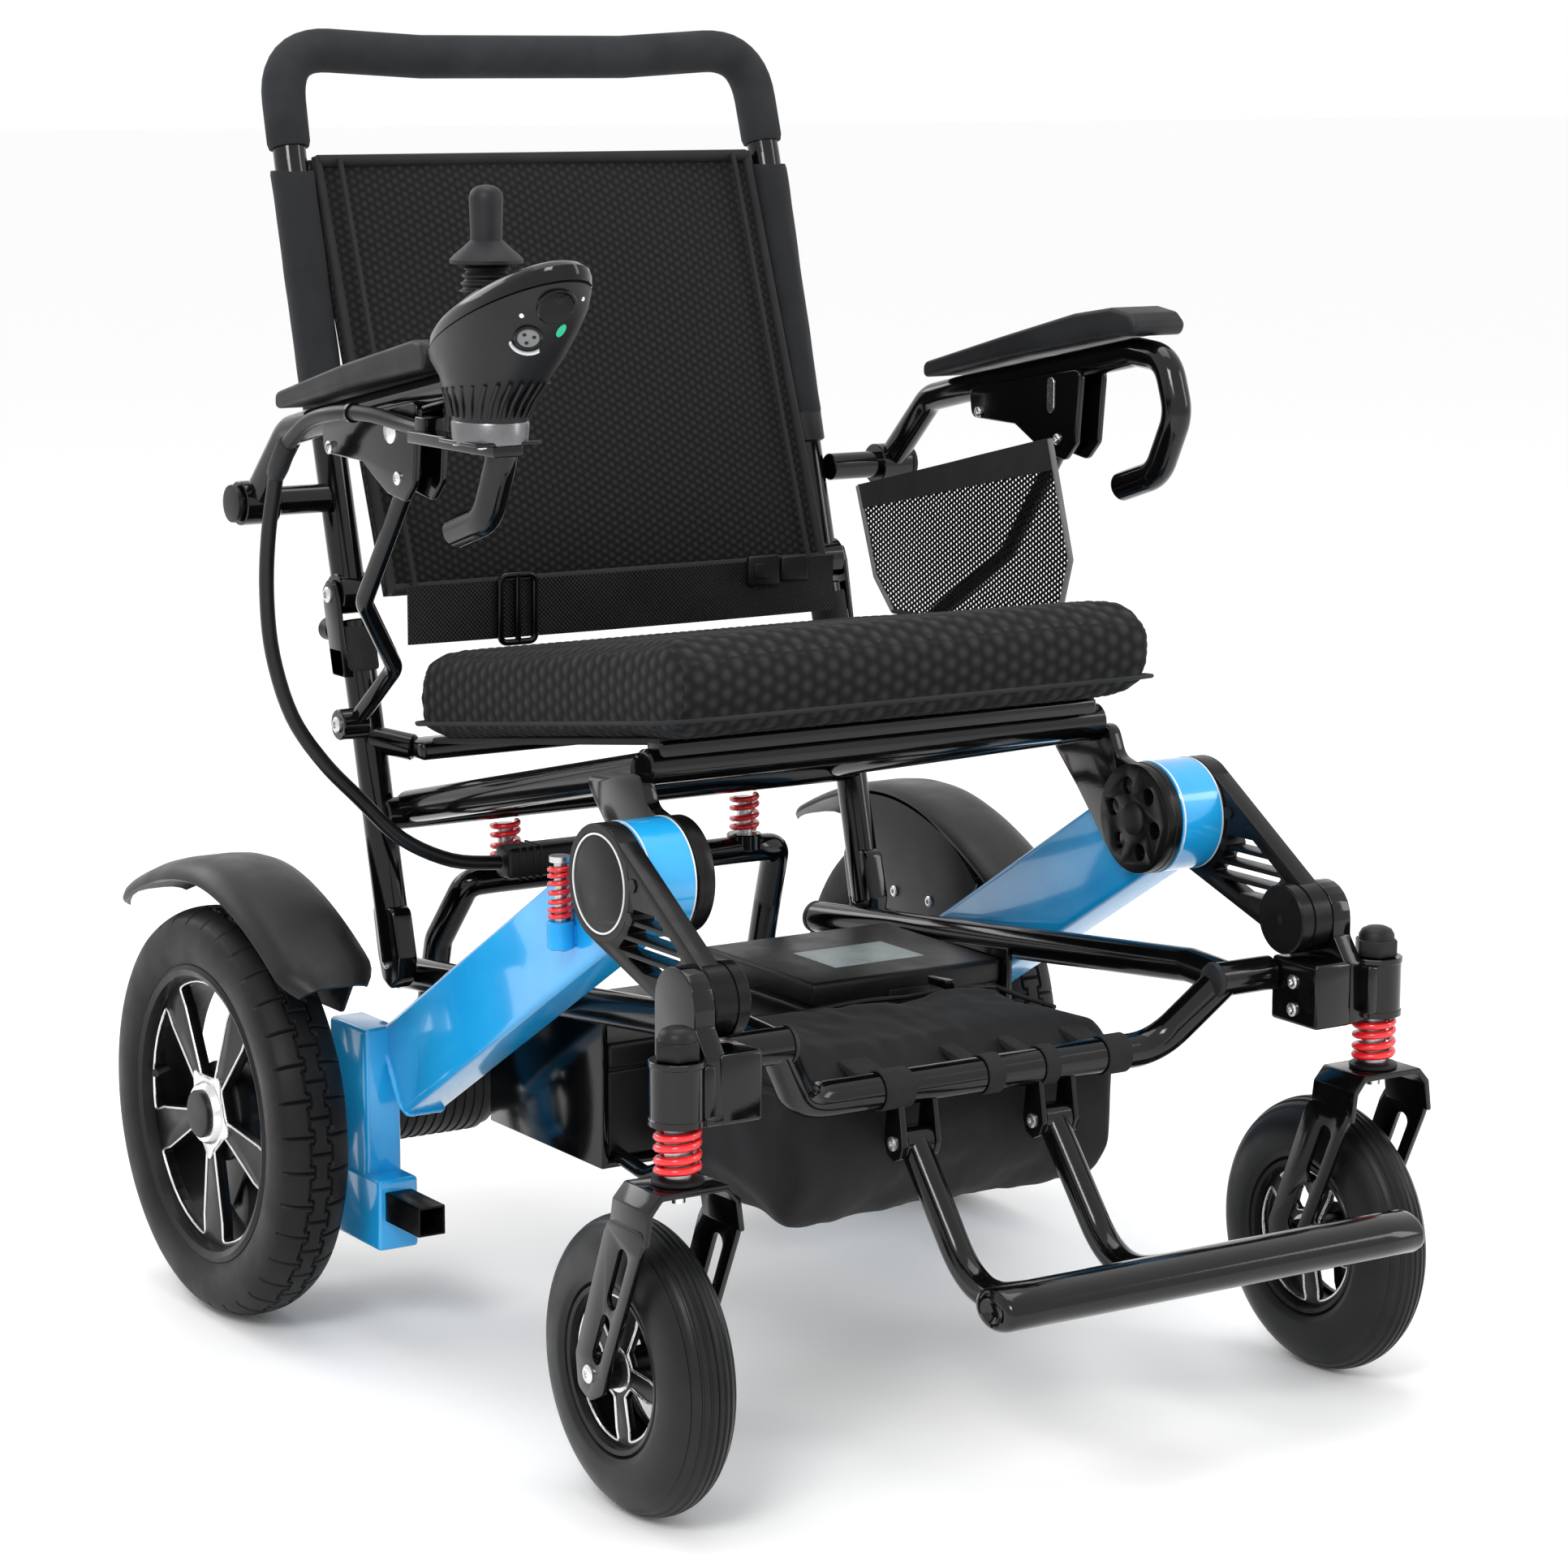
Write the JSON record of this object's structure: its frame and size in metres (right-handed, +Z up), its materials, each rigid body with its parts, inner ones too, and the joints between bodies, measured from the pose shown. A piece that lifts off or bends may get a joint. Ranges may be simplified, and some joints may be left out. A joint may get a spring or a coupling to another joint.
{
  "type": "power wheelchair",
  "caption": "Folding power wheelchair with sloping blue side beams, mesh seat and back, flip-up arms, joystick, sprung front casters and rear drive wheels.",
  "frame": {"origin": "centre of the footprint box on the floor, under the seat", "axes": "+Z up; the occupant faces -Y; the occupant's right side with the joystick is -X"},
  "size_m": [0.698, 0.975, 0.958],
  "materials": {
    "blue_paint": "gloss sky-blue paint",
    "black_paint": "gloss black powder coat",
    "black_plastic": "fine-textured moulded plastic",
    "button_plastic": "gloss moulded plastic",
    "grey_foam": "matte foam grip",
    "mesh_fabric": "black spacer mesh over foam",
    "nylon": "woven black nylon",
    "tyre_rubber": "solid rubber tyre",
    "soft_rubber": "moulded rubber",
    "rim_black": "black painted alloy with machined edges",
    "red_spring": "red painted spring steel",
    "bright_steel": "zinc-plated fasteners",
    "cable_black": "cable sheath"
  },
  "bodies": {
    "frame": {"seat_frame": "black_paint", "seat_cushion": "mesh_fabric", "lower_frame": "black_paint", "battery_R": "black_plastic", "battery_L": "black_plastic", "storage_bag": "nylon", "frame_cable": "cable_black", "cable_plug": "black_plastic", "truss_arm_R": "black_paint", "caster_block_R": "black_paint", "caster_spring_R": "red_spring", "truss_arm_L": "black_paint", "caster_block_L": "black_paint", "caster_spring_L": "red_spring"},
    "rear_unit": {"rear_cross_frame": "black_paint", "side_beam_R": "blue_paint", "motor_R": "black_plastic", "fender_R": "black_plastic", "buffer_spring_R": "red_spring", "anti_tip_bar_R": "black_paint", "side_beam_L": "blue_paint", "motor_L": "black_plastic", "fender_L": "black_plastic", "buffer_spring_L": "red_spring", "anti_tip_bar_L": "black_paint"},
    "rear_wheel_R": {"rear_tyre_R": "tyre_rubber", "rear_rim_R": "rim_black"},
    "anti_tip_roller_R": {"anti_tip_wheel_R": "soft_rubber"},
    "caster_post_R": {"caster_stem_R": "black_paint"},
    "caster_yoke_R": {"caster_fork_R": "black_paint"},
    "caster_wheel_R": {"caster_tyre_R": "tyre_rubber", "caster_rim_R": "rim_black"},
    "rear_wheel_L": {"rear_tyre_L": "tyre_rubber", "rear_rim_L": "rim_black"},
    "anti_tip_roller_L": {"anti_tip_wheel_L": "soft_rubber"},
    "caster_post_L": {"caster_stem_L": "black_paint"},
    "caster_yoke_L": {"caster_fork_L": "black_paint"},
    "caster_wheel_L": {"caster_tyre_L": "tyre_rubber", "caster_rim_L": "rim_black"},
    "back": {"back_frame": "black_paint", "handle_grip": "grey_foam", "backrest": "mesh_fabric", "lap_belt": "nylon"},
    "slider": {"belt_slider": "black_plastic"},
    "arm_hub_R": {"arm_pivot_R": "black_paint"},
    "arm_hub_L": {"arm_pivot_L": "black_paint"},
    "arm_R": {"armrest_R": "black_paint", "arm_pad_R": "black_plastic", "arm_strut_R": "black_paint", "joystick_housing": "black_plastic", "joystick_cable": "cable_black"},
    "arm_L": {"armrest_L": "black_paint", "arm_pad_L": "black_plastic", "arm_strut_L": "black_paint", "mesh_pocket": "nylon"},
    "joystick_gimbal": {"joystick_boot": "soft_rubber"},
    "joystick_stick": {"joystick_lever": "soft_rubber"},
    "power_key": {"power_button": "button_plastic"},
    "horn_key": {"horn_button": "button_plastic"},
    "footrest": {"footrest": "black_paint"}
  },
  "joints": [
    {"name": "frame_fold", "type": "hinge", "parent": "frame", "child": "rear_unit", "pos_m": [0, -0.1365, 0.398], "axis": [-1, 0, 0], "range_deg": [0, 45]},
    {"name": "back_fold", "type": "hinge", "parent": "frame", "child": "back", "pos_m": [0, 0.308, 0.54], "axis": [1, 0, 0], "range_deg": [0, 92]},
    {"name": "arm_level_R", "type": "hinge", "parent": "back", "child": "arm_hub_R", "pos_m": [-0.25, 0.3185, 0.6116], "axis": [1, 0, 0], "range_deg": [-92, 0]},
    {"name": "arm_flip_R", "type": "hinge", "parent": "arm_hub_R", "child": "arm_R", "pos_m": [-0.25, 0.3185, 0.6116], "axis": [-1, 0, 0], "range_deg": [0, 90]},
    {"name": "arm_level_L", "type": "hinge", "parent": "back", "child": "arm_hub_L", "pos_m": [0.25, 0.3185, 0.6116], "axis": [1, 0, 0], "range_deg": [-92, 0]},
    {"name": "arm_flip_L", "type": "hinge", "parent": "arm_hub_L", "child": "arm_L", "pos_m": [0.25, 0.3185, 0.6116], "axis": [-1, 0, 0], "range_deg": [0, 90]},
    {"name": "footrest_flip", "type": "hinge", "parent": "frame", "child": "footrest", "pos_m": [0, -0.219, 0.2125], "axis": [-1, 0, 0], "range_deg": [0, 88]},
    {"name": "caster_travel_R", "type": "slide", "parent": "frame", "child": "caster_post_R", "axis": [0, 0, 1], "range_m": [0, 0.012], "stiffness_N_per_m": 20000, "springref_m": -0.012, "deforming": ["caster_spring_R"]},
    {"name": "caster_swivel_R", "type": "hinge", "parent": "caster_post_R", "child": "caster_yoke_R", "pos_m": [-0.2895, -0.29, 0.2335], "axis": [0, 0, 1], "continuous": true},
    {"name": "caster_roll_R", "type": "hinge", "parent": "caster_yoke_R", "child": "caster_wheel_R", "pos_m": [-0.2895, -0.2415, 0.1], "axis": [1, 0, 0], "continuous": true},
    {"name": "rear_wheel_roll_R", "type": "hinge", "parent": "rear_unit", "child": "rear_wheel_R", "pos_m": [-0.32, 0.308, 0.155], "axis": [1, 0, 0], "continuous": true},
    {"name": "anti_tip_roll_R", "type": "hinge", "parent": "rear_unit", "child": "anti_tip_roller_R", "pos_m": [-0.245, 0.4525, 0.045], "axis": [1, 0, 0], "continuous": true},
    {"name": "caster_travel_L", "type": "slide", "parent": "frame", "child": "caster_post_L", "axis": [0, 0, 1], "range_m": [0, 0.012], "stiffness_N_per_m": 20000, "springref_m": -0.012, "deforming": ["caster_spring_L"]},
    {"name": "caster_swivel_L", "type": "hinge", "parent": "caster_post_L", "child": "caster_yoke_L", "pos_m": [0.2895, -0.29, 0.2335], "axis": [0, 0, 1], "continuous": true},
    {"name": "caster_roll_L", "type": "hinge", "parent": "caster_yoke_L", "child": "caster_wheel_L", "pos_m": [0.2895, -0.2415, 0.1], "axis": [1, 0, 0], "continuous": true},
    {"name": "rear_wheel_roll_L", "type": "hinge", "parent": "rear_unit", "child": "rear_wheel_L", "pos_m": [0.32, 0.308, 0.155], "axis": [1, 0, 0], "continuous": true},
    {"name": "anti_tip_roll_L", "type": "hinge", "parent": "rear_unit", "child": "anti_tip_roller_L", "pos_m": [0.245, 0.4525, 0.045], "axis": [1, 0, 0], "continuous": true},
    {"name": "stick_sideways", "type": "hinge", "parent": "arm_R", "child": "joystick_gimbal", "pos_m": [-0.3085, -0.084, 0.788], "axis": [0, 1, 0], "range_deg": [-15, 15], "stiffness_Nm_per_rad": 0.6},
    {"name": "stick_fore_aft", "type": "hinge", "parent": "joystick_gimbal", "child": "joystick_stick", "pos_m": [-0.3085, -0.084, 0.788], "axis": [1, 0, 0], "range_deg": [-15, 15], "stiffness_Nm_per_rad": 0.6},
    {"name": "power_press", "type": "slide", "parent": "arm_R", "child": "power_key", "axis": [0, -0.342, -0.9397], "range_m": [0, 0.0008], "stiffness_N_per_m": 1500, "springref_m": -0.0006},
    {"name": "horn_press", "type": "slide", "parent": "arm_R", "child": "horn_key", "axis": [0, -0.342, -0.9397], "range_m": [0, 0.0008], "stiffness_N_per_m": 1500, "springref_m": -0.0006},
    {"name": "belt_slide", "type": "slide", "parent": "back", "child": "slider", "axis": [1, 0, 0], "range_m": [-0.06, 0.06]}
  ],
  "couplings": [
    {"joint": "arm_level_R", "follows": "back_fold", "ratio": -1},
    {"joint": "arm_level_L", "follows": "back_fold", "ratio": -1}
  ]
}
